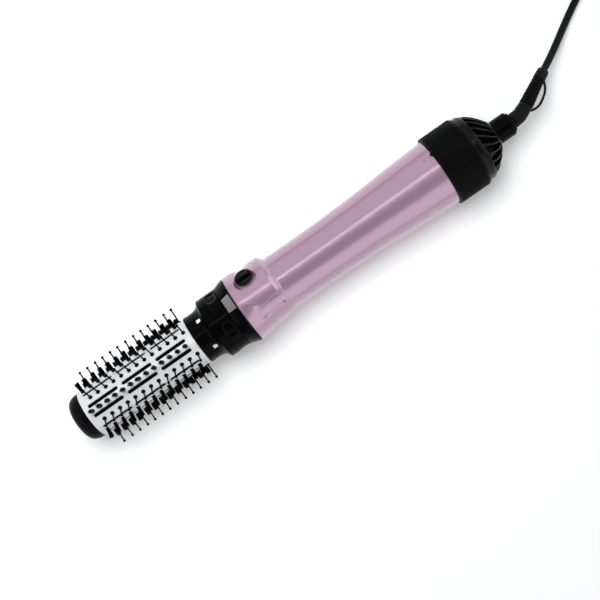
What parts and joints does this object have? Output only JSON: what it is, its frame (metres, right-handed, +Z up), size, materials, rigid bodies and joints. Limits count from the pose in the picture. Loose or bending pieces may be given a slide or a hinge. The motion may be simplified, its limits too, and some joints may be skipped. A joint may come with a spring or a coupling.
{
  "type": "hot air brush",
  "caption": "Handheld hot air styler with a tapered lacquered handle, slide-off bristled round head, rotary switch, rear air inlet and swivel mains cord.",
  "frame": {"origin": "centre of the object's footprint without its cord, on the surface it lies on, under the middle of the handle's axis", "axes": "+X along the handle's axis from the brush head towards the cord, +Z up, +Y towards the side that the switch leans to"},
  "size_m": [0.5346, 0.1027, 0.051],
  "materials": {
    "pink_lacquer": "metallic mauve-pink lacquer over moulded plastic",
    "black_gloss": "polished black moulding",
    "black_satin": "fine satin black moulding",
    "barrel_white": "white coated aluminium tube",
    "bristle": "black nylon",
    "latch_grey": "satin grey moulding",
    "steel": "plain bright steel",
    "brass": "nickel-plated brass",
    "mica": "flaky mica sheet",
    "board": "green circuit board",
    "rubber": "matt black flexible PVC"
  },
  "bodies": {
    "handle": {"nose_ring": "black_gloss", "latch_spring": "steel", "upper_shell": "pink_lacquer", "lower_shell": "pink_lacquer", "casing_screw_1": "steel", "casing_screw_2": "steel", "switch_block": "black_satin", "heater_shield": "mica", "heater_frame": "mica", "heating_coil": "steel", "thermostat": "steel", "rectifier_board": "board", "motor": "steel", "motor_bearing": "brass", "fan_duct": "black_satin", "cord_socket": "black_gloss"},
    "brush_head": {"end_cap": "black_satin", "barrel": "barrel_white", "bristle_core": "black_satin", "head_collar": "black_gloss", "collar_ring": "black_gloss", "inner_sleeve": "barrel_white", "tuft_strip_1": "bristle", "tuft_strip_2": "bristle", "tuft_strip_3": "bristle", "tuft_strip_4": "bristle", "tuft_strip_5": "bristle", "tuft_strip_6": "bristle", "pin_strip_1": "bristle", "pin_strip_2": "bristle", "pin_strip_3": "bristle", "pin_strip_4": "bristle", "pin_strip_5": "bristle", "pin_strip_6": "bristle"},
    "latch": {"release_latch": "latch_grey"},
    "switch": {"switch_knob": "black_gloss"},
    "rotor": {"fan": "black_satin", "motor_shaft": "steel"},
    "inlet_cap": {"rear_collar": "black_satin", "ring_band": "black_gloss", "inlet_filter": "steel", "inlet_grille": "black_gloss"},
    "cord": {"swivel_bush": "black_satin", "strain_relief": "rubber", "cord_lead": "rubber", "cord_coil": "rubber", "cord_tie": "black_satin", "cord_tail": "rubber", "plug_body": "rubber", "plug_pin_1": "brass", "plug_pin_2": "brass"}
  },
  "joints": [
    {"name": "head_pull", "type": "slide", "parent": "handle", "child": "brush_head", "axis": [-1, 0, 0], "range_m": [0, 0.05]},
    {"name": "latch_press", "type": "slide", "parent": "handle", "child": "latch", "axis": [0, -0.342, -0.9397], "range_m": [0, 0.0012], "stiffness_N_per_m": 300},
    {"name": "switch_turn", "type": "hinge", "parent": "handle", "child": "switch", "pos_m": [-0.0279, 0.01556, 0.04106], "axis": [0, 0.7071, 0.7071], "range_deg": [-45, 45]},
    {"name": "fan_spin", "type": "hinge", "parent": "handle", "child": "rotor", "pos_m": [0.09, 0, 0.0255], "axis": [1, 0, 0], "continuous": true},
    {"name": "cap_turn", "type": "hinge", "parent": "handle", "child": "inlet_cap", "pos_m": [0.13, 0, 0.0255], "axis": [1, 0, 0], "range_deg": [0, 20]},
    {"name": "cord_swivel", "type": "hinge", "parent": "handle", "child": "cord", "pos_m": [0.17, 0, 0.0255], "axis": [1, 0, 0], "continuous": true}
  ]
}
